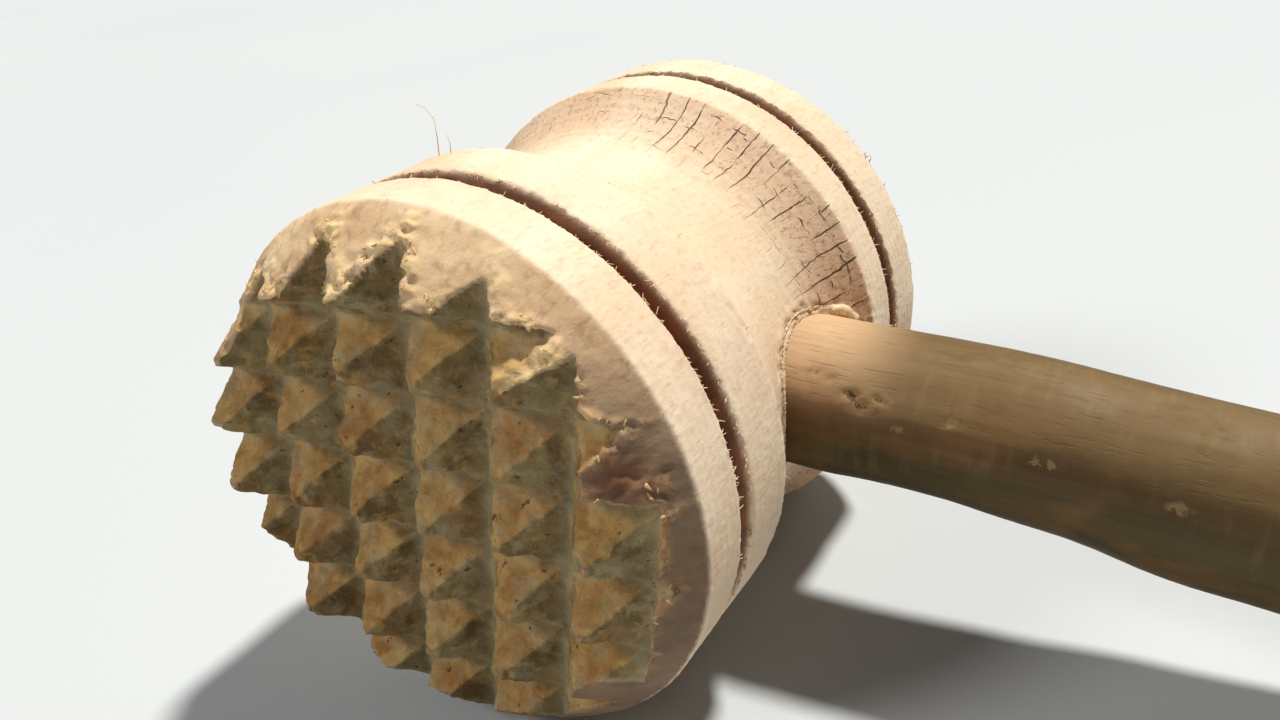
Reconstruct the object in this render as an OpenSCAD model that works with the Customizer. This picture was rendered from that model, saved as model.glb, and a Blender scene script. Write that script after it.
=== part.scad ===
// Wooden meat mallet: a turned head with a cut grid of pyramid teeth on both
// faces, and a turned handle whose tenon runs right through the head's waist.
//
// Frame: origin at the middle of the whole mallet's box, level with the head's
// axis and half way between its faces. The head turns about Y, the front toothed
// face looks along -Y, the handle leaves along +X and Z is up. Millimetres.

/* [Show] */
// Which sub-part to draw

/* [Head] */
// Radius of the two flanges
head_r = 32; // [29:0.5:36]
// Length of the head from tooth tip to tooth tip
head_len = 76.8; // [74:0.4:84]
// Radius of the waist at mid length
waist_r = 27.2; // [25:0.1:28.5]
// Distance from mid length to the edge where the waist meets the front flange
crest_front = 12.6; // [12:0.1:15]
// Distance from mid length to the edge where the waist meets the rear flange
crest_rear = 14.8; // [14.8:0.1:16]
// Fillet that softens both edges
crest_round = 0.9; // [0.4:0.1:1.4]

/* [Shoulder] */
// Radial width of the sloping shoulder round each toothed face
shoulder_w = 8.0; // [6:0.5:11]
// Axial height of the shoulder
shoulder_h = 8.1; // [6.5:0.1:9]
// How far the shoulder bulges out from a straight slope
shoulder_bulge = 0.55; // [0.2:0.05:0.8]

/* [Ring grooves] */
// Distance from mid length to the middle of each ring groove
ring_y = 22.2; // [19:0.1:25]
// Width of a ring groove at the surface
ring_w = 2.5; // [1.5:0.1:3.5]
// Depth of a ring groove
ring_d = 3.0; // [1.5:0.1:4]
// Width lost between the mouth and the floor of a ring groove
ring_draft = 0.6; // [0.2:0.1:1]

/* [Teeth] */
// Depth of the V cuts that leave the teeth
tooth_depth = 5.3; // [3:0.1:6]
// Worn flat left on the tip of each tooth
tip_flat = 0.4; // [0.3:0.1:1.2]
// Spacing of the near-upright cuts
col_pitch = 9.74; // [8:0.02:11]
// Angle of the near-upright cuts from the handle direction
col_angle = 82.5; // [76:0.5:90]
// Distance of the first near-upright cut from the head's axis
col_shift = 2.0; // [0:0.1:4.5]
// Spacing of the near-level cuts
row_pitch = 8.64; // [7.5:0.02:10]
// Angle of the near-level cuts from the handle direction
row_angle = 7.2; // [0:0.2:9]
// Distance of the first near-level cut from the head's axis
row_shift = 3.5; // [0:0.1:4]

/* [Handle] */
// Length from the head's axis to the tip of the handle
handle_reach = 245; // [210:1:280]
// Offset of the handle from mid length, towards the rear face
handle_shift = 4.8; // [3:0.1:4.8]
// Radius of the tenon and of the handle where it enters the head
tenon_r = 9.3; // [8.5:0.1:9.4]
// Radius at the slimmest point of the handle
neck_r = 9.05; // [8:0.05:9.4]
// Distance of the slimmest point from the head's axis
neck_x = 48; // [42:1:60]
// Radius at the fullest point of the grip
grip_r = 12.4; // [11:0.1:14]
// Distance of the fullest point from the head's axis
grip_x = 165; // [140:1:185]
// Radius just before the rounded end
end_r = 11.0; // [9.5:0.1:12]
// Length of the rounded end
end_dome = 9; // [6:0.5:12]

/* [Joint] */
// Thickness of the glue between tenon and head
glue_t = 0.2; // [0.1:0.05:0.3]
// Length of the wedge driven into the tenon
wedge_len = 18; // [10:1:22]
// Thickness of the wedge at the surface of the head
wedge_t = 2.8; // [1.8:0.1:3.5]
// Thickness of the wedge at its tip, which is also the width of the saw cut
kerf_t = 0.9; // [0.6:0.1:1.4]
// Length of the saw cut left open beyond the wedge
kerf_open = 4; // [2:0.5:8]
// Width of the ring of glue squeezed out round the handle
bead_w = 1.0; // [0.5:0.1:1.2]
// Height of that ring above the wood
bead_h = 0.6; // [0.3:0.1:0.9]

/* [Hidden] */
$fn = 84;
half_len = head_len / 2;
// the head's axis stands this far along X from the origin
head_x = (head_r - handle_reach) / 2;
edge_y = half_len - shoulder_h;
bore_r = tenon_r + glue_t;
// waist arc through the two crests and the waist circle
waist_sag = head_r - waist_r;
waist_half = (crest_front + crest_rear) / 2;
waist_mid = (crest_rear - crest_front) / 2;
cove_R = (waist_half * waist_half + waist_sag * waist_sag) / (2 * waist_sag);
cove_c = waist_r + cove_R;
cove_a = asin(waist_half / cove_R);
cove_steps = 16;
arc_steps = 4;
// shoulder arc through the flange edge and the rim of the toothed face
chord = norm([shoulder_w, shoulder_h]);
bulge_R = (chord * chord / 4 + shoulder_bulge * shoulder_bulge) / (2 * shoulder_bulge);
bulge_a = asin(chord / 2 / bulge_R);
slope_a = atan2(shoulder_h, shoulder_w);
// straight run of the handle that the glue ring sits on
root_x = head_r + bead_h + 1;
dome_x = handle_reach - end_dome;
grip_steps = 14;
wood = [0.84, 0.70, 0.53];
handle_wood = [0.66, 0.50, 0.34];
wedge_wood = [0.58, 0.42, 0.27];
glue = [0.87, 0.76, 0.48];

// moves a sub-part from the head's axis to its place in the mallet's frame
module placed() {
    translate([head_x, 0, 0]) children();
}

function ease(t) = t * t * (3 - 2 * t);

// points [radius, y] of the waist arc, raised by g above the wood
function cove(g) = [for (i = [-cove_steps / 2 : cove_steps / 2])
    let (a = cove_a * i * 2 / cove_steps)
    [cove_c - (cove_R - g) * cos(a), waist_mid + (cove_R - g) * sin(a)]];

// fillet between flange and waist, on the side given by s
function crest(s) = [for (i = [0 : arc_steps])
    let (t = i / arc_steps,
         foot = [cove_c - cove_R * cos(cove_a * 0.97), cove_R * sin(cove_a * 0.97)],
         top = [head_r, waist_half + crest_round], mid = [head_r, waist_half])
    let (p = (1 - t) * (1 - t) * foot + 2 * t * (1 - t) * mid + t * t * top)
    [p[0], waist_mid + s * p[1]]];

// shoulder, from the flange edge to the rim of the face
function shoulder(s) = [for (i = [0 : arc_steps])
    let (a = slope_a + bulge_a * (1 - 2 * i / arc_steps),
         m = [head_r - shoulder_w / 2, edge_y + shoulder_h / 2],
         c = m - (bulge_R - shoulder_bulge) * [sin(slope_a), cos(slope_a)])
    let (p = c + bulge_R * [sin(a), cos(a)])
    [p[0], s * p[1]]];

function ring(s) = [[head_r, s * (ring_y - ring_w / 2)],
    [head_r - ring_d, s * (ring_y - (ring_w - ring_draft) / 2)],
    [head_r - ring_d, s * (ring_y + (ring_w - ring_draft) / 2)],
    [head_r, s * (ring_y + ring_w / 2)]];

function flip(v) = [for (i = [len(v) - 1 : -1 : 0]) v[i]];
function side(s) = concat(crest(s), ring(s), shoulder(s));
function inner(v) = [for (p = v) if (abs(p[1] - waist_mid) < waist_half * 0.96) p];

function handle_radius(x) =
    x < root_x ? tenon_r
    : x < neck_x ? tenon_r + (neck_r - tenon_r) * ease((x - root_x) / (neck_x - root_x))
    : x < grip_x ? neck_r + (grip_r - neck_r) * ease((x - neck_x) / (grip_x - neck_x))
    : grip_r + (end_r - grip_r) * ease((x - grip_x) / (dome_x - grip_x));

// offsets of the cuts that start inside the rim of the shoulder
function cuts(pitch, shift) =
    let (reach = head_r - shoulder_w * (shoulder_h - tooth_depth) / shoulder_h)
    [for (k = [-4 : 4]) if (abs(shift + k * pitch) < reach) shift + k * pitch];

// everything turned about the head's axis, before any cut
module head_blank() {
    rotate([-90, 0, 0])
        rotate_extrude()
            polygon(concat([[0, -half_len]], flip(side(-1)), inner(cove(0)), side(1),
                           [[0, half_len]]));
}

// one family of V cuts across the front face
module v_cuts(pitch, angle, shift) {
    half_w = (pitch - tip_flat) / 2;
    over = 1;
    wide = half_w * (tooth_depth + over) / tooth_depth;
    for (o = cuts(pitch, shift))
        rotate([0, -angle, 0])
            translate([-head_r * 1.2, -half_len, o])
                rotate([90, 0, 90])
                    linear_extrude(head_r * 2.4)
                        polygon([[tooth_depth, 0], [-over, wide], [-over, -wide]]);
}

module front_cuts() {
    v_cuts(col_pitch, col_angle, col_shift);
    v_cuts(row_pitch, row_angle, row_shift);
}

// solid round bar along the handle's axis
module bar(r, x0, x1) {
    translate([x0, handle_shift, 0])
        rotate([0, 90, 0])
            cylinder(r = r, h = x1 - x0);
}

// the tenon as trimmed to the surface of the head, grown to radius r
module trimmed(r) {
    intersection() {
        bar(r, -head_r, 0);
        head_blank();
    }
}

// side view of the wedge and of the slot it is driven into
module wedge_plan(extra) {
    polygon([[-head_r, wedge_t / 2 + 0.001], [-head_r, -wedge_t / 2 - 0.001],
             [wedge_len - waist_r, -kerf_t / 2], [wedge_len - waist_r + extra, -kerf_t / 2],
             [wedge_len - waist_r + extra, kerf_t / 2], [wedge_len - waist_r, kerf_t / 2]]);
}

module wedge_block(extra) {
    translate([0, handle_shift, -head_r / 2])
        linear_extrude(head_r)
            wedge_plan(extra);
}

module head() {
    color(wood)
        placed() difference() {
            head_blank();
            front_cuts();
            rotate([180, 0, 0]) front_cuts();
            bar(bore_r, -head_r - 1, head_r + 1);
        }
}

module handle() {
    color(handle_wood)
        placed() difference() {
            union() {
                trimmed(tenon_r);
                translate([0, handle_shift, 0])
                    rotate([0, 90, 0])
                        rotate_extrude()
                            polygon(concat([[0, 0], [tenon_r, 0]],
                                [for (i = [0 : 3]) let (x = root_x + (neck_x - root_x) * i / 3)
                                    [handle_radius(x), x]],
                                [for (i = [1 : grip_steps])
                                    let (x = neck_x + (grip_x - neck_x) * i / grip_steps)
                                    [handle_radius(x), x]],
                                [for (i = [1 : 6]) let (x = grip_x + (dome_x - grip_x) * i / 6)
                                    [handle_radius(x), x]],
                                [for (i = [1 : 8]) let (a = 90 * i / 8)
                                    [end_r * cos(a), dome_x + end_dome * sin(a)]]));
            }
            wedge_block(kerf_open);
        }
}

module tenon_wedge() {
    color(wedge_wood)
        placed() intersection() {
            wedge_block(0);
            trimmed(tenon_r);
        }
}

module glue_film() {
    color(glue)
        placed() difference() {
            intersection() {
                bar(bore_r, -head_r, head_r);
                head_blank();
            }
            bar(tenon_r, -head_r - 1, head_r + 1);
        }
}

module glue_bead() {
    color(glue)
        placed() difference() {
            intersection() {
                bar(tenon_r + bead_w, 0, root_x);
                rotate([-90, 0, 0])
                    rotate_extrude()
                        polygon(concat([[0, -crest_front]], cove(bead_h), [[0, crest_rear]]));
            }
            head_blank();
            bar(bore_r, -1, waist_r - 2);
            bar(tenon_r, -1, root_x + 1);
        }
}

head();
handle();
tenon_wedge();
glue_film();
glue_bead();
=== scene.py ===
import math

import bmesh
import bpy
import numpy as np
from mathutils import Matrix, Vector


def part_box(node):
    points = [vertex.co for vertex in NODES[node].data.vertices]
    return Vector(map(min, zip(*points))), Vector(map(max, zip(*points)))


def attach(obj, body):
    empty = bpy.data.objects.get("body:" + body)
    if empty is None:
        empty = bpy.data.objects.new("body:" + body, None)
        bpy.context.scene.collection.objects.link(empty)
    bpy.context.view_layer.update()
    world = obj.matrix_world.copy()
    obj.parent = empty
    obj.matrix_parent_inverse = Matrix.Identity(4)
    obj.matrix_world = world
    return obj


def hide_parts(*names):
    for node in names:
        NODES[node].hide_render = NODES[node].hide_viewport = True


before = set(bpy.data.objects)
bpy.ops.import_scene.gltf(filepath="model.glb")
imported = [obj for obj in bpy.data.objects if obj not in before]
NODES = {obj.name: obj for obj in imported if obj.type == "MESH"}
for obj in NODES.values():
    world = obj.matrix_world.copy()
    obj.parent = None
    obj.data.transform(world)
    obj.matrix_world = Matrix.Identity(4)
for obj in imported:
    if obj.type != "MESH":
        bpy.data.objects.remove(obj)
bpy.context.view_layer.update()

MM = 0.001

# ---------------------------------------------------------------- sizes, mm
# Read from the frame. Points are measured from the head's axis, which stands at AXIS_X in the frame:
# X runs along the handle, Y along the head and Z up.
head_lo, head_hi = (np.array(v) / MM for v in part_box("head"))
handle_lo, handle_hi = (np.array(v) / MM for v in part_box("handle"))
bead_lo, bead_hi = (np.array(v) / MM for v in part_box("glue_bead"))
AXIS_X = (head_lo[0] + head_hi[0]) / 2
FROM_AXIS = np.array([AXIS_X, 0, 0])
HEAD_R = head_hi[2]
HALF_LEN = head_hi[1]
HANDLE_Y = (handle_lo[1] + handle_hi[1]) / 2
HANDLE_END = handle_hi[0] - AXIS_X
MOUTH_X = bead_hi[0] - AXIS_X
BEAD_W = 1.0
ROOT_R = (bead_hi[2] - bead_lo[2]) / 2 - BEAD_W

# The CAD head's details: sloped shoulder, V cuts, ring grooves and the inner edges of the flanges
SHOULDER_W, SHOULDER_H, SHOULDER_BULGE = 8.0, 8.1, 0.55
FACE_R = HEAD_R - SHOULDER_W
EDGE_Y = HALF_LEN - SHOULDER_H
TOOTH_DEPTH, TIP_FLAT = 5.3, 0.4
VALLEY_Y = HALF_LEN - TOOTH_DEPTH
COLS = {"pitch": 9.74, "angle": 82.5, "shift": 2.0}
ROWS = {"pitch": 8.64, "angle": 7.2, "shift": 3.5}
RING_Y, RING_W = 22.2, 2.5
CREST_FRONT, CREST_REAR = 12.6, 14.8

# Spacing of the fine grids that the visible pieces are carved from
HEAD_VOXEL = 0.34
HANDLE_VOXEL = 0.40
BEAD_VOXEL = 0.16

# ---------------------------------------------------------------- noise


def scramble(ix, iy, iz, seed):
    """A whole number that looks random, the same each time for one grid corner and seed."""
    h = (ix * 374761393 + iy * 668265263 + iz * 1442695041 + seed * 1013904223) & 0xFFFFFFFF
    h = ((h ^ (h >> 15)) * 2246822519) & 0xFFFFFFFF
    h = ((h ^ (h >> 13)) * 3266489917) & 0xFFFFFFFF
    return (h ^ (h >> 16)) & 0xFFFFFFFF


def perlin(p, scale, seed=0):
    """Gradient noise in about -1..1 at points p. Its cells are scale mm wide, one number or one per axis."""
    q = p / np.asarray(scale, float)
    corner = np.floor(q).astype(np.int64)
    f = q - corner
    u = f * f * f * (f * (f * 6 - 15) + 10)
    total = 0
    for dx in (0, 1):
        for dy in (0, 1):
            for dz in (0, 1):
                h = scramble(corner[:, 0] + dx, corner[:, 1] + dy, corner[:, 2] + dz, seed)
                a = (h & 1023) / 1023 * 2 * np.pi
                c = ((h >> 10) & 1023) / 511.5 - 1
                s = np.sqrt(np.maximum(0, 1 - c * c))
                slope = np.cos(a) * s * (f[:, 0] - dx) + np.sin(a) * s * (f[:, 1] - dy) + c * (f[:, 2] - dz)
                wx, wy, wz = (u[:, k] if d else 1 - u[:, k] for k, d in enumerate((dx, dy, dz)))
                total = total + wx * wy * wz * slope
    return total * 1.5


def layers(p, *parts):
    """Noises added up, where each part gives its height, its scale and its seed."""
    return sum(height * perlin(p, scale, seed) for height, scale, seed in parts)


def step(a, b, x):
    """A smooth rise from 0 at a to 1 at b."""
    t = np.clip((x - a) / (b - a), 0, 1)
    return t * t * (3 - 2 * t)


# ---------------------------------------------------------------- mesh tools
# CAD points closer than WELD, in metres, are one point
WELD = 2e-6
RELAX = 0.6


def closed_copy(node, name, voxel):
    """A new piece with the CAD node's own shape, rebuilt as an even, closed grid fine enough to carve."""
    mesh = NODES[node].data.copy()
    bm = bmesh.new()
    bm.from_mesh(mesh)
    bmesh.ops.remove_doubles(bm, verts=bm.verts, dist=WELD)
    bm.to_mesh(mesh)
    bm.free()
    mesh.materials.clear()
    ob = bpy.data.objects.new(name, mesh)
    bpy.context.scene.collection.objects.link(ob)
    mod = ob.modifiers.new("grid", "REMESH")
    mod.mode = "VOXEL"
    mod.voxel_size = voxel * MM
    mod.adaptivity = 0
    mod.use_smooth_shade = True
    bpy.context.view_layer.update()
    out = bpy.data.meshes.new_from_object(ob.evaluated_get(bpy.context.evaluated_depsgraph_get()))
    ob.modifiers.clear()
    ob.data = out
    out.name = name
    return ob


def points(ob):
    """The piece's points, in mm from the head's axis, and their normals."""
    me = ob.data
    co = np.empty(len(me.vertices) * 3)
    no = np.empty(len(me.vertices) * 3)
    me.vertices.foreach_get("co", co)
    me.vertex_normals.foreach_get("vector", no)
    return co.reshape(-1, 3) / MM - FROM_AXIS, no.reshape(-1, 3)


def put(ob, p):
    """Moves the piece's points to p."""
    ob.data.vertices.foreach_set("co", ((p + FROM_AXIS) * MM).ravel())
    ob.data.update()


def paint(ob, **values):
    """Stores one number per point under each name, for the materials to read."""
    for name, value in values.items():
        at = ob.data.attributes.new(name, "FLOAT", "POINT")
        at.data.foreach_set("value", np.asarray(value, np.float32))


def neighbours_mean(ob, p, rounds, weight):
    """Relaxes points towards the mean of their neighbours, RELAX of the way where weight is 1."""
    me = ob.data
    e = np.empty(len(me.edges) * 2, np.int64)
    me.edges.foreach_get("vertices", e)
    a, b = e.reshape(-1, 2).T
    n = len(p)
    deg = np.bincount(a, minlength=n) + np.bincount(b, minlength=n)
    for _ in range(rounds):
        m = np.stack([np.bincount(a, p[b, k], n) + np.bincount(b, p[a, k], n) for k in range(3)], 1)
        p = p + weight[:, None] * (m / deg[:, None] - p) * RELAX
    return p


# ---------------------------------------------------------------- head


def groove(x, z, pitch, angle, shift):
    """Height above the valleys left by one family of V cuts, and the distance past the nearest valley."""
    a = math.radians(angle)
    q = z * math.cos(a) - x * math.sin(a)
    reach = HEAD_R - SHOULDER_W * (SHOULDER_H - TOOTH_DEPTH) / SHOULDER_H
    lines = np.array([shift + k * pitch for k in range(-4, 5) if abs(shift + k * pitch) < reach])
    gap = q[:, None] - lines
    near = gap[np.arange(len(q)), np.abs(gap).argmin(1)]
    return TOOTH_DEPTH * np.minimum(1, np.abs(near) * 2 / (pitch - TIP_FLAT)), near


# p are the points and n their normals, and p0 is where the points were before carving. r and theta are the
# distance from the head's axis and the turn about it, from the handle upwards; ya is the distance from the
# middle of the head along that axis, and sy is -1 on the front half and 1 on the rear half.
head = closed_copy("head", "head_wood", HEAD_VOXEL)
p, n = points(head)
p0 = p.copy()
r = np.hypot(p[:, 0], p[:, 2])
ya = np.abs(p[:, 1])
sy = np.sign(p[:, 1])
theta = np.degrees(np.arctan2(p[:, 2], p[:, 0]))
radial = np.stack([p[:, 0] / np.maximum(r, 1e-6), 0 * r, p[:, 2] / np.maximum(r, 1e-6)], 1)
bore_gap = np.hypot(p[:, 1] - HANDLE_Y, p[:, 2]) - ROOT_R
bore = bore_gap < 0.7

# blank_y is the end's surface before it is cut, tooth_y the surface of the cuts, and margin is above zero
# where the cuts have run out
into = np.clip((HEAD_R - r) / SHOULDER_W, 0, 1)
blank_y = np.minimum(HALF_LEN, EDGE_Y + SHOULDER_H * into + SHOULDER_BULGE * 4 * into * (1 - into))
on_end = step(EDGE_Y - 0.2, EDGE_Y + 0.4, ya)
# the rear cuts are the front ones turned about the handle direction
col_h, col_d = groove(p[:, 0], -sy * p[:, 2], **COLS)
row_h, row_d = groove(p[:, 0], -sy * p[:, 2], **ROWS)
tooth_y = VALLEY_Y + np.minimum(col_h, row_h)
# away from the handle the front teeth keep their full height almost to the rim
TALL_START, TALL_STOP, TALL_RIM = (140, 158), (262, 240), (30.2, 27.6)
tall = step(*TALL_START, theta % 360) * step(*TALL_STOP, theta % 360) * (sy < 0) * step(*TALL_RIM, r)
blank_y = blank_y + (HALF_LEN - blank_y) * tall
margin = tooth_y - blank_y
raised = np.maximum(0, np.minimum(tooth_y, blank_y) - ya) * on_end * (tall > 0)
# the even grid leaves faint steps on the slopes of the cuts, so its points are put back on them exactly
snap = np.clip(tooth_y - ya - raised, -0.35, 0.35) * on_end * step(0.0, -0.3, margin)
p[:, 1] += sy * (raised + snap)
ya = ya + raised + snap

# what each point is, from 0 to 1: cut, how high on a tooth, uncut shoulder, near the bottom of a valley,
# on an upper facet; tone differs from tooth to tooth
cut = on_end * np.maximum(step(0.10, -0.20, margin), 1 - step(FACE_R - 2.5, FACE_R - 1, r))
tip = np.clip((ya - VALLEY_Y) / TOOTH_DEPTH, 0, 1) * on_end
shoulder = on_end * (1 - cut)
valley = np.exp(-(np.minimum(np.abs(col_d), np.abs(row_d)) / 0.75) ** 2) * cut
# the material paints these upper facets as lit and the rest of each tooth as shaded
upper = (row_h < col_h) * (row_d * sy > 0) * cut
col_no = np.round((p[:, 0] - col_d) / 4.0)
row_no = np.round((p[:, 2] - row_d) / 4.0)
tone = 0.5 + 0.5 * np.sin(43.0 * col_no + 17.0 * row_no)

# rounder valleys and tips than straight V cuts leave, and slightly softened turned edges
ROUNDING = 0.8
rounder = (tip * tip * (3 - 2 * tip) - tip) * TOOTH_DEPTH * cut
p[:, 1] += sy * ROUNDING * rounder
p = neighbours_mean(head, p, 1, 0.5 * (1 - cut))
p = neighbours_mean(head, p, 2, 0.7 * cut)

# worn, leaning, chipped teeth with pitted faces
LEAN, CHIP_DEPTH = 0.75, 0.38
lean = np.stack([perlin(p0, 7.5, 3), 0 * r, perlin(p0, 7.5, 4)], 1)
p += lean * (LEAN * cut * tip ** 1.3)[:, None]
blunt = step(0.38, 0.62, perlin(p0, (9, 30, 9), 21))
wear = tip ** 4 * (0.22 + 0.25 * perlin(p0, (7, 30, 7), 5) + 0.9 * blunt)
p[:, 1] -= sy * np.maximum(wear, 0) * cut
ridge_line = np.exp(-((row_h - col_h) / 0.8) ** 2) * step(0.25, 0.5, tip)
chip_high = step(0.30, 0.6, perlin(p0, 1.8, 6)) * tip
chip_ridge = step(0.0, 0.5, perlin(p0, 1.5, 25)) * ridge_line
p -= n * (CHIP_DEPTH * np.maximum(chip_high, chip_ridge) * cut)[:, None]
rough = layers(p0, (0.28, 2.8, 26), (0.20, 1.4, 7), (0.12, 0.8, 8))
p += n * (rough * cut * (1 - 0.7 * valley))[:, None]

# torn wood where the cuts run out over the shoulder: worst on top and towards the handle, one spot spared
SPARED_X, SPARED_Z = 26.5, 8.5
worst = step(-25, 15, theta) * step(165, 125, theta) + 0.25
worst = worst * (1 - 0.8 * np.exp(-((p[:, 0] - SPARED_X) ** 2 + (p[:, 2] - SPARED_Z) ** 2) / 9.0))
patchy = step(-0.45, 0.15, perlin(p0, 4.5, 9))
reach = 1.2 + 0.9 * step(35, 75, theta) * step(165, 135, theta)
band = on_end * np.exp(-((margin - 0.5) / reach) ** 2) * step(FACE_R - 3, FACE_R - 0.5, r)
torn = np.clip(band * worst * patchy, 0, 1)
ridge = 1 - 2 * np.abs(perlin(p0, (2.1, 2.1, 1.5), 10))
p += n * (torn * (0.66 * ridge + 0.40 * perlin(p0, 0.9, 11) - 0.30))[:, None]
p += n * (shoulder * layers(p0, (0.09, (3.5, 1.5, 1.5), 27), (0.05, 0.9, 28)))[:, None]

# a splintered scar on the shoulder, below the torn band
SCAR_X, SCAR_Z = 25.6, 11.0
scar = np.exp(-((p0[:, 0] - SCAR_X) ** 2 / 5.0 + (p0[:, 2] - SCAR_Z) ** 2 / 6.0)) * shoulder * (sy < 0)
p -= n * (scar * (0.20 + 0.30 * perlin(p0, (2.4, 1.2, 1.0), 24)))[:, None]

# turned surfaces: faint waviness, raised stipple, tool rings
turned = (1 - on_end) * (1 - bore)
tool_rings = 0.02 * np.sin(p0[:, 1] * 5.2 + 2 * perlin(p0, 6, 14))
p += n * (turned * (layers(p0, (0.10, 9, 12), (0.035, 0.9, 13)) + tool_rings))[:, None]

# ring grooves: ragged lips
lip = np.exp(-((np.abs(ya - RING_Y) - RING_W / 2) / 0.45) ** 2) * step(HEAD_R - 1.0, HEAD_R - 0.2, r)
rag = layers(p0, (1, 1.1, 15), (0.6, 0.6, 16))
side = np.sign(ya - RING_Y) * sy
p[:, 1] += lip * side * (0.28 * rag + 0.05)
p += radial * (lip * 0.17 * rag)[:, None]

# flange edges knocked by use
crest = np.where(p0[:, 1] < 0, CREST_FRONT, CREST_REAR) + 0.4
knock = step(0.25, 0.7, perlin(p0, 3.0, 18)) + 0.45 * perlin(p0, 1.0, 19)
for edge, deep in ((EDGE_Y, 0.20), (crest, 0.26)):
    near = np.exp(-((ya - edge) / 0.7) ** 2) * step(HEAD_R - 2, HEAD_R - 0.6, r)
    p -= radial * (near * deep * knock)[:, None]

# the mouth of the handle hole is broken away in places
mouth = np.exp(-((bore_gap - 1.1) / 0.9) ** 2) * (p0[:, 0] > 0) * (1 - on_end)
p[:, 0] += mouth * (0.10 + layers(p0, (0.40, 1.4, 22), (0.18, 0.7, 23)))
put(head, p)
p_head, n_head = p, n

below_rim = 1 - step(HEAD_R - 0.75, HEAD_R - 0.15, r)
ring = np.exp(-((ya - RING_Y) / (RING_W * 0.62)) ** 6) * below_rim * (1 - bore)
# the waist's end grain shows where its surface leans towards the head's ends, on the rear side only
endgrain = step(0.12, 0.48, np.abs(n[:, 1])) * (ya < crest) * step(-4, 4, p0[:, 1])
# painted shade: a thin dark ring on the head round the mouth of the handle hole, where the joint is shaded
seam = np.exp(-((bore_gap - 1.0) / 0.35) ** 2) * (p0[:, 0] > 0)
paint(head, cut=cut, tip=tip, shoulder=shoulder, torn=torn, ring=ring, valley=valley, upper=upper,
      tone=tone, scar=scar, endgrain=endgrain, bore=bore, seam=seam)

# ---------------------------------------------------------------- handle
# the visible stick is bent and swelled a little from the straight CAD handle: up at the neck, down beyond it,
# and with swells below, each with its distance from the head's axis, its reach and its height
NECK_RISE, NECK_X = 0.5, 48
BOW_DROP, BOW_FROM, BOW_TO = 1.8, 52, 85
SWELLS = ((38, 5, -0.25), (53, 6, 0.38), (69, 7, 0.62))
# small torn nicks near the head and along the sides: distance, turn from the top in degrees, size, depth
NICKS = ((30.4, -45, 0.9, 0.7), (32.2, -48, 0.7, 0.6), (35.0, -56, 1.0, 0.9), (36.6, -62, 1.1, 1.0),
         (38.9, -56, 0.8, 0.8), (46.5, -61, 0.8, 0.6), (56.0, -73, 0.9, 0.7), (69.0, -72, 1.0, 0.5),
         (41.0, -74, 0.7, 0.5), (58.0, 40, 0.9, 0.6), (96.0, -30, 1.2, 0.5), (120.0, 70, 1.1, 0.6))

handle = closed_copy("handle", "handle_wood", HANDLE_VOXEL)
p, n = points(handle)
p0 = p.copy()
free = step(MOUTH_X - 4, MOUTH_X + 2, p[:, 0])
p = neighbours_mean(handle, p, 3, free)
ax = p0 - np.array([0, HANDLE_Y, 0])
along_x = ax[:, 0]
long_grain = np.stack([along_x / 22, ax[:, 1], ax[:, 2]], 1)
worn = layers(ax, (0.10, (26, 9, 9), 31), (0.02, (0.9, 5, 5), 33)) + layers(long_grain, (0.05, 2.4, 32))
p += n * (free * worn)[:, None]
p[:, 2] += NECK_RISE * np.exp(-((along_x - NECK_X) / 10) ** 2) * free
p[:, 2] -= BOW_DROP * step(BOW_FROM, BOW_TO, along_x) * step(HANDLE_END, HANDLE_END - 80, along_x)
under = free * step(0.3, -0.7, n[:, 2])
for place, spread, rise in SWELLS:
    p += n * (under * rise * np.exp(-((along_x - place) / spread) ** 2))[:, None]
turn = np.degrees(np.arctan2(ax[:, 2], -ax[:, 1])) - 90
nicks = np.zeros(len(p))
for nick_x, nick_turn, size, depth in NICKS:
    turned_by = np.radians((turn - nick_turn + 180) % 360 - 180)
    d = np.hypot((along_x - nick_x) / 1.6, turned_by * ROOT_R) / size + 0.5 * perlin(p0, 0.9, 34)
    nicks = np.maximum(nicks, depth * np.exp(-d ** 2 * 1.6))
p += n * (free * nicks * (0.45 * perlin(p0, 0.8, 35) - 0.28))[:, None]
put(handle, p)
paint(handle, nick=nicks)

# ---------------------------------------------------------------- glue
# the dried bead is thin and uneven, with two lumps at these turns from +Y towards +Z
LUMP_BIG, LUMP_SMALL = 52, -150

bead = closed_copy("glue_bead", "glue_bead_dried", BEAD_VOXEL)
p, n = points(bead)
off_axis = np.hypot(p[:, 1] - HANDLE_Y, p[:, 2])
away = step(ROOT_R + 0.15, ROOT_R + 0.6, off_axis)
psi = np.degrees(np.arctan2(p[:, 2], p[:, 1] - HANDLE_Y))
lump = np.exp(-((psi - LUMP_BIG) / 13) ** 2) + 0.5 * np.exp(-((psi - LUMP_SMALL) / 15) ** 2)
swell = layers(p, (0.30, 2.2, 41), (0.25, 1.0, 42), (0.12, 0.5, 43)) - 0.30 + 0.85 * lump
p += n * (away * np.clip(swell, -0.35, 0.8))[:, None]
p[:, 0] -= step(0.1, 0.7, n[:, 0]) * 0.36 * (1 - lump)
put(bead, p)

# ---------------------------------------------------------------- loose fibres and crumbs
# every random number comes from here, so the order of the draws below is part of the design
dice = np.random.default_rng(11)

# splinters on the rear rim: turn about the head's axis in degrees, Y and greatest length
SPLINTERS = ((49, 31.4, 1.5), (46, 30.6, 1.0), (41.5, 31.6, 1.9), (40, 30.8, 1.3), (32, 31.2, 1.1),
             (25.5, 31.4, 1.0), (22, 30.9, 0.8), (120, 31.0, 1.2), (200, 31.2, 1.3))
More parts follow.
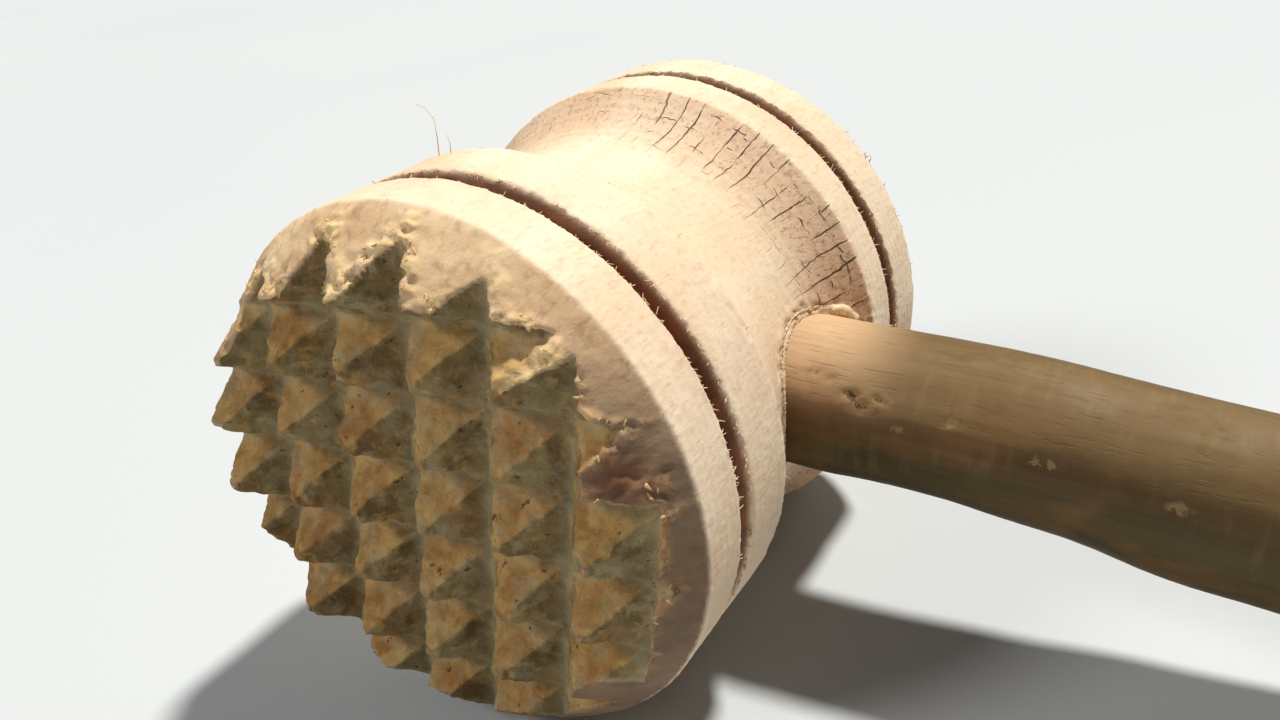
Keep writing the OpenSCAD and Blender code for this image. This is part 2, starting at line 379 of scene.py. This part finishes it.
# the two hairs that stand on top of the front flange: turn, Y and distance from the head's axis
LONG_HAIR = ((108, -13.9, HEAD_R - 0.4), (107.6, -13.2, 34.0), (107.4, -12.8, 35.8), (109.0, -12.4, 37.2),
             (111.2, -12.2, 38.0))
SHORT_HAIR = ((104.5, -14.0, HEAD_R - 0.4), (104.3, -13.6, 33.0), (105.0, -13.3, 34.3))
# crumbs round the joint, mostly on the upper side towards the rear flange: turn about the handle from +Y
# towards +Z in degrees, distance off the handle and size
JOINT_CRUMBS = ((56, 0.5, 0.75), (50, 0.9, 0.60), (44, 0.6, 0.50), (62, 0.7, 0.42), (70, 0.4, 0.36),
                (80, 0.5, 0.30), (95, 0.4, 0.34), (140, 0.3, 0.30), (168, 0.4, 0.36), (186, 0.2, 0.3))


def strand(bm, path, thick, thin, sides=5):
    """A thin closed strand along a list of points in mm, tapering from one end to the other."""
    path = [Vector(q) for q in path]
    across = (path[1] - path[0]).orthogonal()
    turns = [2 * math.pi * k / sides for k in range(sides)]
    rings = []
    for i, q in enumerate(path):
        along = (path[min(i + 1, len(path) - 1)] - path[max(i - 1, 0)]).normalized()
        across = (across - along * across.dot(along)).normalized()
        other = along.cross(across)
        rad = thick + (thin - thick) * i / (len(path) - 1)
        ring = [q + (across * math.cos(t) + other * math.sin(t)) * rad for t in turns]
        rings.append([bm.verts.new((v + Vector(FROM_AXIS)) * MM) for v in ring])
    for a, b in zip(rings, rings[1:]):
        for k in range(sides):
            bm.faces.new((a[k], a[(k + 1) % sides], b[(k + 1) % sides], b[k]))
    bm.faces.new(rings[0][::-1])
    bm.faces.new(rings[-1])


def curl(base, way, length, bend, parts=4):
    """Points of a strand that starts at base, heads along way and curves towards bend."""
    base, way, bend = np.array(base, float), np.array(way, float), np.array(bend, float)
    way = way / np.linalg.norm(way)
    return [base + length * (way * s + bend * s * s) for s in np.linspace(0, 1, parts)]


def on_flange(turn, y, rad=HEAD_R):
    """The point at a turn in degrees about the head's axis, at y along it and rad away from it."""
    t = math.radians(turn)
    return np.array([rad * math.cos(t), y, rad * math.sin(t)])


def wall_x(y, z):
    """X of the head's surface on the handle's side, at y, z."""
    near = np.argmin((p_head[:, 1] - y) ** 2 + (p_head[:, 2] - z) ** 2 + 1e3 * (p_head[:, 0] < 0))
    return p_head[near, 0]


def fibre_piece(name, build):
    """A new piece from the strands and crumbs that build draws."""
    mesh = bpy.data.meshes.new(name)
    bm = bmesh.new()
    build(bm)
    bmesh.ops.recalc_face_normals(bm, faces=bm.faces)
    bm.to_mesh(mesh)
    bm.free()
    ob = bpy.data.objects.new(name, mesh)
    bpy.context.scene.collection.objects.link(ob)
    return ob


def lip_fibre(bm, turn, ring_y, lip_side):
    """One fibre on a lip of a ring groove, bent into the groove."""
    out = on_flange(turn, 0, 1.0)
    base = on_flange(turn, ring_y + lip_side * (RING_W / 2 + dice.uniform(0, 0.25)), HEAD_R - 0.22)
    way = out * dice.uniform(0.0, 0.5) + np.array([0, -lip_side * dice.uniform(0.4, 1.0), 0])
    way += np.cross(out, [0, 1, 0]) * dice.uniform(-1.0, 1.0)
    path = curl(base, way, dice.uniform(0.25, 0.60), dice.normal(0, 0.3, 3))
    strand(bm, path, dice.uniform(0.05, 0.09), 0.03)


def edge_fibre(bm, turn, edge_y):
    """One fibre standing off an edge of a flange."""
    out = on_flange(turn, 0, 1.0)
    way = out + np.array([0, dice.uniform(-0.8, 0.8), 0]) + np.cross(out, [0, 1, 0]) * dice.uniform(-1, 1)
    base = on_flange(turn, edge_y, HEAD_R - 0.25)
    path = curl(base, way, dice.uniform(0.2, 0.5), dice.normal(0, 0.3, 3))
    strand(bm, path, dice.uniform(0.05, 0.09), 0.03)


def splinter(bm, turn, y, size):
    """One splinter on the sloped rim outside EDGE_Y."""
    way = on_flange(turn + dice.uniform(-35, 55), dice.uniform(-0.3, 0.9), 1.0)
    rad = HEAD_R - 0.35 - max(0, y - EDGE_Y)
    base = on_flange(turn + dice.uniform(-0.8, 0.8), y + dice.uniform(-0.3, 0.3), rad)
    strand(bm, curl(base, way, size * dice.uniform(0.5, 1), dice.normal(0, 0.25, 3)), 0.16, 0.04)


def torn_fibres(bm):
    for ring_y in (-RING_Y, RING_Y):
        for lip_side in (-1, 1):
            for turn in dice.uniform(0, 360, 300):
                lip_fibre(bm, turn, ring_y, lip_side)
    for edge_y in (-EDGE_Y, -CREST_FRONT, CREST_REAR, EDGE_Y):
        for turn in dice.uniform(0, 360, 36):
            edge_fibre(bm, turn, edge_y)
    for turn, y, size in SPLINTERS:
        for _ in range(3):
            splinter(bm, turn, y, size)
    strand(bm, [on_flange(*place) for place in LONG_HAIR], 0.07, 0.04, 6)
    strand(bm, [on_flange(*place) for place in SHORT_HAIR], 0.06, 0.03, 6)


def crumb(bm, at, size):
    """One lumpy crumb with its middle at the point at."""
    at = np.asarray(at, float)
    made = bmesh.ops.create_icosphere(bm, subdivisions=2, radius=size)["verts"]
    q = np.array([v.co[:] for v in made])
    q = q * (1 + 0.55 * perlin(q + at * 3.7, size * 0.9, 51))[:, None] * dice.uniform(0.55, 1.25, 3)
    for v, c in zip(made, (q + at + FROM_AXIS) * MM):
        v.co = c


def sliver(bm, at, normal):
    """One sliver lying on the torn surface."""
    flat = dice.normal(0, 1, 3)
    flat -= normal * flat.dot(normal)
    way = flat / np.linalg.norm(flat) + normal * dice.uniform(0.0, 0.45)
    path = curl(at - normal * 0.10, way, dice.uniform(0.25, 0.65), dice.normal(0, 0.2, 3))
    strand(bm, path, dice.uniform(0.13, 0.24), 0.08, 4)


def torn_crumbs(bm):
    for turn, off, size in JOINT_CRUMBS:
        t = math.radians(turn)
        y, z = HANDLE_Y + (ROOT_R + off) * math.cos(t), (ROOT_R + off) * math.sin(t)
        crumb(bm, (wall_x(y, z) + 0.25 * size, y, z), size)
    # more slivers on the front, which comes first
    for face, count in ((-1, 80), (1, 50)):
        ragged = np.flatnonzero((torn > 0.45) & (margin > 0.0) & (sy == face))
        for i in dice.choice(ragged, count, replace=False):
            sliver(bm, p_head[i], n_head[i])


fibres = fibre_piece("torn_fibres", torn_fibres)
crumbs = fibre_piece("torn_crumbs", torn_crumbs)

for ob, node, slot in ((head, "head", "head_wood"), (handle, "handle", "handle_wood"),
                       (bead, "glue_bead", "bead_glue")):
    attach(ob, "root")
    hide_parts(node)
for ob in (fibres, crumbs):
    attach(ob, "root")
for ob in (head, handle, bead, fibres, crumbs):
    ob.data.polygons.foreach_set("use_smooth", [True] * len(ob.data.polygons))

# ---------------------------------------------------------------- shader nodes


class Graph:
    """One material, with short names for its shader nodes. pos is in metres from the head's axis."""

    def __init__(self, name):
        self.mat = bpy.data.materials.new(name)
        self.mat.use_nodes = True
        self.tree = self.mat.node_tree
        self.tree.nodes.clear()
        out = self.node("OutputMaterial")
        self.bsdf = self.node("BsdfPrincipled")
        self.link(self.bsdf.outputs[0], out.inputs[0])
        self.pos = self.scaled(self.node("TexCoord").outputs["Object"], (1, 1, 1), (-AXIS_X * MM, 0, 0))

    def node(self, kind):
        return self.tree.nodes.new("ShaderNode" + kind)

    def link(self, value, socket):
        """Feeds a socket from a number, a colour or another node's output."""
        if isinstance(value, (int, float, tuple)):
            socket.default_value = value
        else:
            self.tree.links.new(value, socket)

    def attr(self, name):
        """What paint() stored under this name."""
        nd = self.node("Attribute")
        nd.attribute_name = name
        return nd.outputs["Fac"]

    def scaled(self, v, s, move=(0, 0, 0), turn=(0, 0, 0)):
        """Positions for a pattern: one that is scaled by less than 1 is stretched along that axis."""
        nd = self.node("Mapping")
        self.link(v, nd.inputs["Vector"])
        self.link(s, nd.inputs["Scale"])
        self.link(move, nd.inputs["Location"])
        self.link(turn, nd.inputs["Rotation"])
        return nd.outputs[0]

    def noise(self, v, scale, detail=4, rough=0.55, bend=0.0):
        """Noise of 0 to 1, with scale cells to the metre."""
        nd = self.node("TexNoise")
        self.link(v, nd.inputs["Vector"])
        self.link(scale, nd.inputs["Scale"])
        self.link(detail, nd.inputs["Detail"])
        self.link(rough, nd.inputs["Roughness"])
        self.link(bend, nd.inputs["Distortion"])
        return nd.outputs["Fac"]

    def cells(self, v, scale):
        nd = self.node("TexVoronoi")
        self.link(v, nd.inputs["Vector"])
        self.link(scale, nd.inputs["Scale"])
        return nd.outputs["Distance"]

    def math(self, op, a, b=0.0, clamp=False):
        nd = self.node("Math")
        nd.operation = op
        nd.use_clamp = clamp
        self.link(a, nd.inputs[0])
        self.link(b, nd.inputs[1])
        return nd.outputs[0]

    def mul(self, a, b):
        return self.math("MULTIPLY", a, b)

    def add(self, a, b):
        return self.math("ADD", a, b)

    def sub(self, a, b):
        return self.math("SUBTRACT", a, b)

    def smooth(self, v, lo, hi, out_lo=0.0, out_hi=1.0):
        """A smooth change from out_lo where v is lo to out_hi where v is hi."""
        nd = self.node("MapRange")
        nd.interpolation_type = "SMOOTHSTEP"
        self.link(v, nd.inputs[0])
        for k, x in enumerate((lo, hi, out_lo, out_hi)):
            self.link(x, nd.inputs[k + 1])
        return nd.outputs[0]

    def mix(self, fac, a, b):
        """From colour a to colour b; a Mix node has its colours at inputs 6 and 7 and output 2."""
        nd = self.node("Mix")
        nd.data_type = "RGBA"
        self.link(fac, nd.inputs[0])
        self.link(a, nd.inputs[6])
        self.link(b, nd.inputs[7])
        return nd.outputs[2]

    def blend(self, v, light, dark, lo=0.35, hi=0.65):
        """Two tones: light where v is below lo, dark where it is above hi."""
        return self.mix(self.smooth(v, lo, hi), light, dark)

    def stain(self, base, where, strength, tone):
        """Lays tone over base: fully where the mask and the strength are both 1."""
        return self.mix(self.mul(where, strength), base, tone)

    def xyz(self, v):
        nd = self.node("SeparateXYZ")
        self.link(v, nd.inputs[0])
        return nd.outputs

    def vec(self, x, y, z):
        nd = self.node("CombineXYZ")
        for k, v in enumerate((x, y, z)):
            self.link(v, nd.inputs[k])
        return nd.outputs[0]

    def bump(self, height, distance, strength, under=None):
        nd = self.node("Bump")
        self.link(strength, nd.inputs["Strength"])
        self.link(distance, nd.inputs["Distance"])
        self.link(height, nd.inputs["Height"])
        if under is not None:
            self.link(under, nd.inputs["Normal"])
        return nd.outputs[0]

    def finish(self, colour, rough, normal, spec):
        self.link(colour, self.bsdf.inputs["Base Color"])
        self.link(rough, self.bsdf.inputs["Roughness"])
        self.link(normal, self.bsdf.inputs["Normal"])
        self.link(spec, self.bsdf.inputs["Specular IOR Level"])
        return self.mat


def srgb(r8, g8, b8):
    """A colour as the shaders take it, from three screen values of 0 to 255."""
    channels = (c / 255 for c in (r8, g8, b8))
    return tuple(c / 12.92 if c <= 0.04045 else ((c + 0.055) / 1.055) ** 2.4 for c in channels) + (1.0,)


# ---------------------------------------------------------------- materials of the head


def turned_wood(g, patch, fuzz, fine):
    """Pale growth rings along the head's axis, pinkish clouds and fine raised fuzz."""
    along_axis = g.scaled(g.pos, (1, 0.06, 1), (0.012, 0, -0.031), (0.05, 0.4, 0.03))
    rings = g.noise(along_axis, 95, 3, 0.5, 0.6)
    base = g.blend(rings, srgb(240, 220, 192), srgb(231, 206, 174))
    base = g.stain(base, g.smooth(patch, 0.42, 0.68), 0.65, srgb(221, 188, 157))
    base = g.stain(base, g.smooth(fuzz, 0.50, 0.72), 0.30, srgb(192, 148, 116))
    return g.stain(base, g.smooth(fine, 0.58, 0.72), 0.20, srgb(164, 118, 86))


def check_lines(g, place, on, width, sharp):
    """Thin broken lines where place passes half way between whole numbers, as wide as on allows."""
    gap = g.math("ABSOLUTE", g.sub(g.sub(place, g.math("FLOOR", place)), 0.5))
    return g.math("MULTIPLY", g.sub(g.mul(on, width), gap), sharp, clamp=True)


def drying_checks(g, patch, around, across):
    """Cracks of the rear waist, along and round it, mostly between the handle's side and the top."""
    wander = g.noise(g.vec(g.mul(around, 3.0), g.mul(across, 0.07), 0.0), 1.0, 1)
    jag = g.noise(g.pos, 700, 2, 0.5)
    spoke = g.add(g.mul(around, 12.8), g.add(g.mul(wander, 1.8), g.mul(jag, 0.22)))
    spoke_no = g.math("FLOOR", spoke)
    spoke_on = g.noise(g.vec(g.mul(spoke_no, 5.37), g.mul(across, 0.17), 3.1), 1.0, 2)
    spokes = check_lines(g, spoke, g.smooth(spoke_on, 0.41, 0.60), 0.050, 30.0)
    hoop_wander = g.noise(g.vec(g.mul(around, 7.0), spoke_no, 0.0), 1.0, 2)
    hoop = g.add(g.mul(across, 0.42), g.mul(hoop_wander, 1.6))
    hoop_on = g.noise(g.vec(g.mul(around, 11.0), g.mul(g.math("FLOOR", hoop), 4.77), 7.7), 1.0, 2)
    hoops = check_lines(g, hoop, g.smooth(hoop_on, 0.47, 0.62), 0.050, 20.0)
    window = g.mul(g.smooth(around, 0.02, 0.30), g.smooth(around, 1.65, 1.30))
    window = g.mul(g.math("MAXIMUM", window, g.smooth(patch, 0.5, 0.6)), g.smooth(across, 2.0, 6.0))
    return g.mul(g.math("MAXIMUM", spokes, g.mul(hoops, 0.8)), g.mul(window, g.attr("endgrain")))


def end_grain(g, base, pore, around):
    """The waist's brown tint and open pores, both made stronger low on the handle's side as painted shade."""
    # painted shade: the tint and the pores are laid on more strongly low on the handle's side, where the
    # waist is shaded
    painted_shade_low = g.smooth(around, 1.0, 0.2)
    base = g.stain(base, g.attr("endgrain"), g.add(0.35, g.mul(painted_shade_low, 0.45)), srgb(184, 138, 102))
    return g.stain(base, pore, g.add(0.22, g.mul(painted_shade_low, 0.35)), srgb(122, 80, 52))


def shoulder_wood(g, base, z):
    """The uncut shoulder: brown low down as painted shade and pale on top as painted light, with torn crumbs
    painted the same way and a dark scar.
    """
    # painted shade and light: 0 low on the shoulder, where it is painted dark, and 1 on top, where it is
    # painted pale
    painted_shade_to_light = g.smooth(z, 0.010, 0.027)
    cloud = g.noise(g.pos, 130, 5, 0.6)
    # painted shade: the dark brown tones low down; painted light: the pale tones laid over them on top
    tone = g.blend(cloud, srgb(118, 90, 64), srgb(90, 66, 46), 0.38, 0.62)
    painted_lit_tone = g.blend(cloud, srgb(236, 207, 164), srgb(212, 174, 130), 0.38, 0.62)
    tone = g.stain(tone, painted_shade_to_light, 0.85, painted_lit_tone)
    grain = g.noise(g.scaled(g.pos, (1, 0.3, 1)), 760, 4, 0.65)
    tone = g.stain(tone, g.smooth(grain, 0.48, 0.68), 0.45, srgb(120, 80, 56))
    base = g.stain(base, g.attr("shoulder"), 0.88, tone)
    crumbly = g.mul(g.attr("torn"), g.smooth(g.noise(g.pos, 380, 4, 0.6, 0.4), 0.42, 0.58))
    # the crumbs are painted darker low down and paler on top, the same painted shade and light
    base = g.stain(base, crumbly, 0.85, g.mix(painted_shade_to_light, srgb(190, 144, 96), srgb(232, 202, 146)))
    return g.stain(base, g.attr("scar"), 0.70, srgb(104, 60, 42))


def toothed_end(g):
    """Ochre upper facets as painted light and olive lower ones as painted shade, rust blotches, grey green
    valleys, brown tips and dark specks.
    """
    upper = g.attr("upper")
    cloud = g.noise(g.pos, 230, 4, 0.6, 0.5)
    # painted light and shade: the upper facets are painted a lit ochre and the lower ones a shaded olive
    painted_lit_ochre = g.blend(cloud, srgb(190, 153, 96), srgb(162, 124, 70), 0.38, 0.62)
    painted_shade_olive = g.blend(cloud, srgb(144, 123, 80), srgb(112, 93, 58), 0.38, 0.62)
    tooth = g.mix(upper, painted_shade_olive, painted_lit_ochre)
    gold = g.noise(g.pos, 520, 4, 0.65, 0.6)
    tooth = g.stain(tooth, g.smooth(gold, 0.52, 0.66), 0.45, srgb(206, 166, 96))
    blotch = g.add(g.noise(g.pos, 120, 4, 0.6, 0.3), g.mul(g.attr("tone"), 0.10))
    rust = g.add(0.25, g.mul(upper, 0.18))
    tooth = g.stain(tooth, g.smooth(blotch, 0.52, 0.68), rust, srgb(158, 98, 52))
    film = g.noise(g.pos, 330, 5, 0.65, 0.5)
    tooth = g.stain(tooth, g.smooth(film, 0.44, 0.62), 0.40, srgb(166, 156, 124))
    lines = g.mul(g.attr("valley"), g.smooth(g.noise(g.pos, 300, 3), 0.30, 0.52))
    tooth = g.stain(tooth, lines, 0.52, srgb(162, 152, 120))
    tooth = g.stain(tooth, g.smooth(g.attr("tip"), 0.82, 1.0), 0.35, srgb(140, 92, 50))
    speck = g.noise(g.scaled(g.pos, (1, 0.5, 1)), 900, 3, 0.65)
    return g.stain(tooth, g.smooth(speck, 0.645, 0.70), 0.75, srgb(62, 42, 26))


def head_bump(g, fuzz, fine, pore, crack):
    """Fine fuzz, then pits that are deepest on the teeth and the torn wood, then the cracks."""
    height = g.add(g.mul(fuzz, 0.7), g.add(g.mul(fine, 0.4), g.mul(pore, -0.5)))
    fuzzy = g.bump(height, 0.00017, 0.70)
    worked = g.math("MAXIMUM", g.attr("cut"), g.attr("torn"))
    pits = g.mul(g.noise(g.pos, 560, 5, 0.65), g.add(0.22, g.mul(worked, 0.9)))
    return g.bump(g.mul(crack, -1.0), 0.0005, 1.0, g.bump(pits, 0.0005, 0.75, fuzzy))


def head_material():
    g = Graph("pale_turned_wood")
    x, y, z = g.xyz(g.pos)
    around = g.math("ARCTAN2", z, x)
    across = g.mul(y, 1000.0)
    patch = g.noise(g.pos, 60, 4, 0.6)
    fuzz = g.noise(g.scaled(g.pos, (1, 0.45, 1)), 1500, 4, 0.65)
    fine = g.noise(g.scaled(g.pos, (1, 0.2, 1)), 2600, 3, 0.6)
    pores = g.noise(g.scaled(g.pos, (1, 0.55, 1)), 1900, 3, 0.6)
    pore = g.mul(g.smooth(pores, 0.56, 0.66), g.attr("endgrain"))
    crack = drying_checks(g, patch, around, across)
    base = turned_wood(g, patch, fuzz, fine)
    base = end_grain(g, base, pore, around)
    base = shoulder_wood(g, base, z)
    base = g.mix(g.attr("cut"), base, toothed_end(g))
    scorch = g.blend(g.noise(g.pos, 260, 3), srgb(150, 90, 54), srgb(104, 58, 34))
    base = g.mix(g.attr("ring"), base, scorch)
    base = g.stain(base, crack, 0.9, srgb(62, 38, 25))
    base = g.mix(g.attr("bore"), base, srgb(150, 104, 70))
    # painted shade along the joint round the handle
    base = g.stain(base, g.attr("seam"), 0.28, srgb(120, 84, 56))
    return g.finish(base, g.smooth(fuzz, 0.2, 0.8, 0.70, 0.9), head_bump(g, fuzz, fine, pore, crack), 0.22)


# ---------------------------------------------------------------- material of the handle


def handle_tones(g, x, turn):
    """Painted shade round the stick: tan on top, brown on the sides and olive below; painted light makes it
    paler on top at the root and painted shadow makes it duller far from the head.
    """
    grain = g.noise(g.scaled(g.pos, (0.04, 1, 1), (0, 0.013, 0.02)), 300, 4, 0.55, 0.6)
    # painted shade: tan for the lit top, brown for the sides and olive for the shaded underside
    tan = g.blend(grain, srgb(120, 96, 63), srgb(106, 84, 53))
    brown = g.blend(grain, srgb(94, 72, 43), srgb(78, 58, 34))
    painted_shade_olive = g.blend(grain, srgb(78, 67, 41), srgb(62, 53, 32))
    base = g.mix(g.smooth(turn, 0.75, 0.30), tan, brown)
    base = g.mix(g.smooth(turn, 0.35, -0.15), base, painted_shade_olive)
    # painted shadow: the stick darkens and dulls far from the head
    base = g.stain(base, g.smooth(x, 0.040, 0.110), 0.30, srgb(98, 86, 54))
    # painted light: a pale sunlit patch on top of the stick at the root
    root = g.mul(g.smooth(x, 0.042, 0.029), g.smooth(turn, 0.10, 0.85))
    return g.stain(base, root, 0.80, srgb(222, 184, 142))


def handle_wear(g, base, turn, cloud, fine, pore):
    """Grain lines, marks across the stick, rust, smudges, pores and the torn nicks, with painted shade in
    their pits.
    """
    base = g.stain(base, g.smooth(fine, 0.50, 0.72), 0.16, srgb(92, 64, 40))
    chatter = g.noise(g.scaled(g.pos, (1, 0.22, 0.22)), 620, 3, 0.55)
    chatter = g.mul(g.smooth(chatter, 0.48, 0.66), g.smooth(cloud, 0.46, 0.62))
    base = g.stain(base, chatter, 0.13, srgb(150, 130, 90))
    rust = g.noise(g.scaled(g.pos, (0.5, 1, 1), (0.11, 0, 0.04)), 130, 4, 0.6, 0.4)
    rust = g.mul(g.smooth(rust, 0.48, 0.64), g.smooth(turn, 1.05, 0.45))
    base = g.stain(base, rust, 0.30, srgb(132, 92, 52))
    smudge = g.noise(g.scaled(g.pos, (0.55, 1, 1), (0.3, 0, 0)), 190, 4, 0.65, 0.5)
    base = g.stain(base, g.smooth(smudge, 0.56, 0.70), 0.35, srgb(86, 60, 36))
    base = g.stain(base, pore, 0.12, srgb(78, 52, 32))
    nick = g.mul(g.attr("nick"), g.smooth(g.noise(g.pos, 900, 3, 0.6), 0.36, 0.58))
    base = g.stain(base, g.smooth(nick, 0.08, 0.35), 0.40, srgb(170, 140, 98))
    # painted shade: the middle of each nick, where its pit is shaded, is darkened
    return g.stain(base, g.smooth(nick, 0.40, 0.75), 0.75, srgb(84, 56, 34))


def handle_material():
    g = Graph("worn_handle_wood")
    x, y, z = g.xyz(g.pos)
    # turn is 1 on top of the stick and -1 below it, made uneven by clouds; it lays the painted shade from the
    # lit top down to the shaded underside
    dy = g.sub(y, HANDLE_Y * MM)
    away = g.math("SQRT", g.add(g.mul(dy, dy), g.mul(z, z)))
    cloud = g.noise(g.scaled(g.pos, (0.45, 1, 1)), 75, 4, 0.6, 0.4)
    turn = g.math("DIVIDE", z, g.math("MAXIMUM", away, 0.0001))
    turn = g.add(turn, g.mul(g.sub(cloud, 0.5), 0.9))
    fine = g.noise(g.scaled(g.pos, (0.05, 1, 1)), 1900, 3, 0.6)
    pore = g.smooth(g.noise(g.scaled(g.pos, (0.12, 1, 1)), 2300, 2, 0.5), 0.60, 0.70)
    base = handle_wear(g, handle_tones(g, x, turn), turn, cloud, fine, pore)
    lined = g.bump(g.add(g.mul(fine, 0.5), g.mul(pore, -0.6)), 0.00008, 0.6)
    uneven = g.bump(g.noise(g.pos, 600, 4, 0.6), 0.00014, 0.5, lined)
    rough = g.smooth(g.noise(g.pos, 130, 3), 0.3, 0.7, 0.54, 0.72)
    return g.finish(base, rough, uneven, 0.16)


# ---------------------------------------------------------------- materials of the small pieces


def glue_material(name, light, dark):
    g = Graph(name)
    lumps = g.noise(g.pos, 900, 4, 0.6)
    base = g.blend(lumps, light, dark)
    return g.finish(base, g.smooth(lumps, 0.3, 0.7, 0.35, 0.6), g.bump(lumps, 0.00015, 0.8), 0.4)


def fibre_material(name, light, dark):
    g = Graph(name)
    grit = g.noise(g.pos, 3200, 3, 0.6)
    base = g.blend(g.noise(g.pos, 420, 3, 0.6), light, dark)
    return g.finish(base, g.smooth(grit, 0.3, 0.7, 0.72, 0.92), g.bump(grit, 0.0001, 0.6), 0.2)


def wedge_material():
    g = Graph("wedge_end_grain")
    pores = g.smooth(g.cells(g.scaled(g.pos, (0.4, 1, 1)), 1700), 0.4, 0.12)
    bands = g.noise(g.scaled(g.pos, (0.1, 1, 1)), 500, 3)
    base = g.blend(bands, srgb(128, 90, 58), srgb(98, 66, 42))
    base = g.stain(base, pores, 0.6, srgb(52, 32, 20))
    return g.finish(base, 0.75, g.bump(g.add(g.mul(pores, -0.5), bands), 0.00012, 0.8), 0.25)


def floor_material():
    g = Graph("pale_floor")
    base = g.mix(g.noise(g.pos, 3.0, 2), srgb(198, 201, 202), srgb(190, 194, 196))
    return g.finish(base, 0.85, g.bump(g.noise(g.pos, 400, 2), 0.0002, 0.2), 0.2)


head.data.materials.append(head_material())
handle.data.materials.append(handle_material())
bead.data.materials.append(glue_material("dried_glue_bead", srgb(234, 210, 174), srgb(214, 182, 140)))
fibres.data.materials.append(fibre_material("torn_fibre_wood", srgb(240, 218, 182), srgb(214, 178, 132)))
crumbs.data.materials.append(fibre_material("torn_crumb_wood", srgb(226, 194, 140), srgb(196, 152, 104)))
film_glue = glue_material("dried_glue_film", srgb(204, 170, 110), srgb(158, 112, 62))
for node, mat in (("tenon_wedge", wedge_material()), ("glue_film", film_glue)):
    NODES[node].data.materials.clear()
    NODES[node].data.materials.append(mat)

# ---------------------------------------------------------------- stage
# The mallet lies on its flanges and on the rounded end of its handle, so the floor leans under it. The end
# touches END_LOW below the handle's axis and END_BACK before its tip.
END_LOW, END_BACK = 11.0, 9.0
FLOOR_GAP = 0.25
FLOOR_SIZE = 6.0
WORLD_TONE, WORLD_POWER = (0.88, 0.93, 0.98, 1), 0.13


def lay_floor():
    lean_angle = math.atan2(HEAD_R - END_LOW, HANDLE_END - END_BACK)
    upwards = Vector((-math.sin(lean_angle), 0, math.cos(lean_angle)))
    mesh = bpy.data.meshes.new("floor")
    bm = bmesh.new()
    bmesh.ops.create_grid(bm, x_segments=8, y_segments=8, size=FLOOR_SIZE)
    bm.to_mesh(mesh)
    bm.free()
    mesh.materials.append(floor_material())
    floor = bpy.data.objects.new("floor", mesh)
    bpy.context.scene.collection.objects.link(floor)
    floor.rotation_euler = (0, -lean_angle, 0)
    floor.location = Vector(FROM_AXIS) * MM - upwards * (HEAD_R + FLOOR_GAP) * MM


def soft_sun(name, towards_light, power, spread, tone):
    """A sun whose disc is spread degrees wide, which softens its shadows."""
    light = bpy.data.lights.new(name, "SUN")
    light.energy = power
    light.angle = math.radians(spread)
    light.color = tone
    ob = bpy.data.objects.new(name, light)
    ob.rotation_euler = Vector(towards_light).to_track_quat("Z", "Y").to_euler()
    bpy.context.scene.collection.objects.link(ob)


lay_floor()
soft_sun("key", towards_light=(0.14, 0.36, 0.92), power=4.3, spread=6, tone=(1.0, 0.975, 0.93))
soft_sun("fill", towards_light=(-0.52, -0.60, 0.62), power=1.25, spread=18, tone=(1.0, 0.98, 0.95))

world = bpy.data.worlds.new("studio")
world.use_nodes = True
background = world.node_tree.nodes["Background"]
background.inputs["Color"].default_value = WORLD_TONE
background.inputs["Strength"].default_value = WORLD_POWER
bpy.context.scene.world = world
bpy.context.scene.view_settings.view_transform = "Standard"

# ---------------------------------------------------------------- camera
# Its place is in head radii from the middle of the head, and VIEW is the way it looks.
EYE = Vector((2.1393, -3.0679, 2.0185))
VIEW = Vector((-0.47017, 0.74213, -0.47769)).normalized()
ROUGHLY_RIGHT = Vector((0.85833, 0.51048, -0.05174))
LENS, SENSOR = 29.24, 36
CLIP_START, CLIP_END = 0.005, 60

cam_data = bpy.data.cameras.new("camera")
cam_data.sensor_width = SENSOR
cam_data.lens = LENS
cam_data.clip_start = CLIP_START
cam_data.clip_end = CLIP_END
cam = bpy.data.objects.new("camera", cam_data)
bpy.context.scene.collection.objects.link(cam)
up = ROUGHLY_RIGHT.cross(VIEW).normalized()
right = VIEW.cross(up).normalized()
turned_to_view = Matrix((right, up, -VIEW)).transposed().to_4x4()
cam.matrix_world = Matrix.Translation(EYE * HEAD_R * MM + Vector(FROM_AXIS) * MM) @ turned_to_view
bpy.context.scene.camera = cam
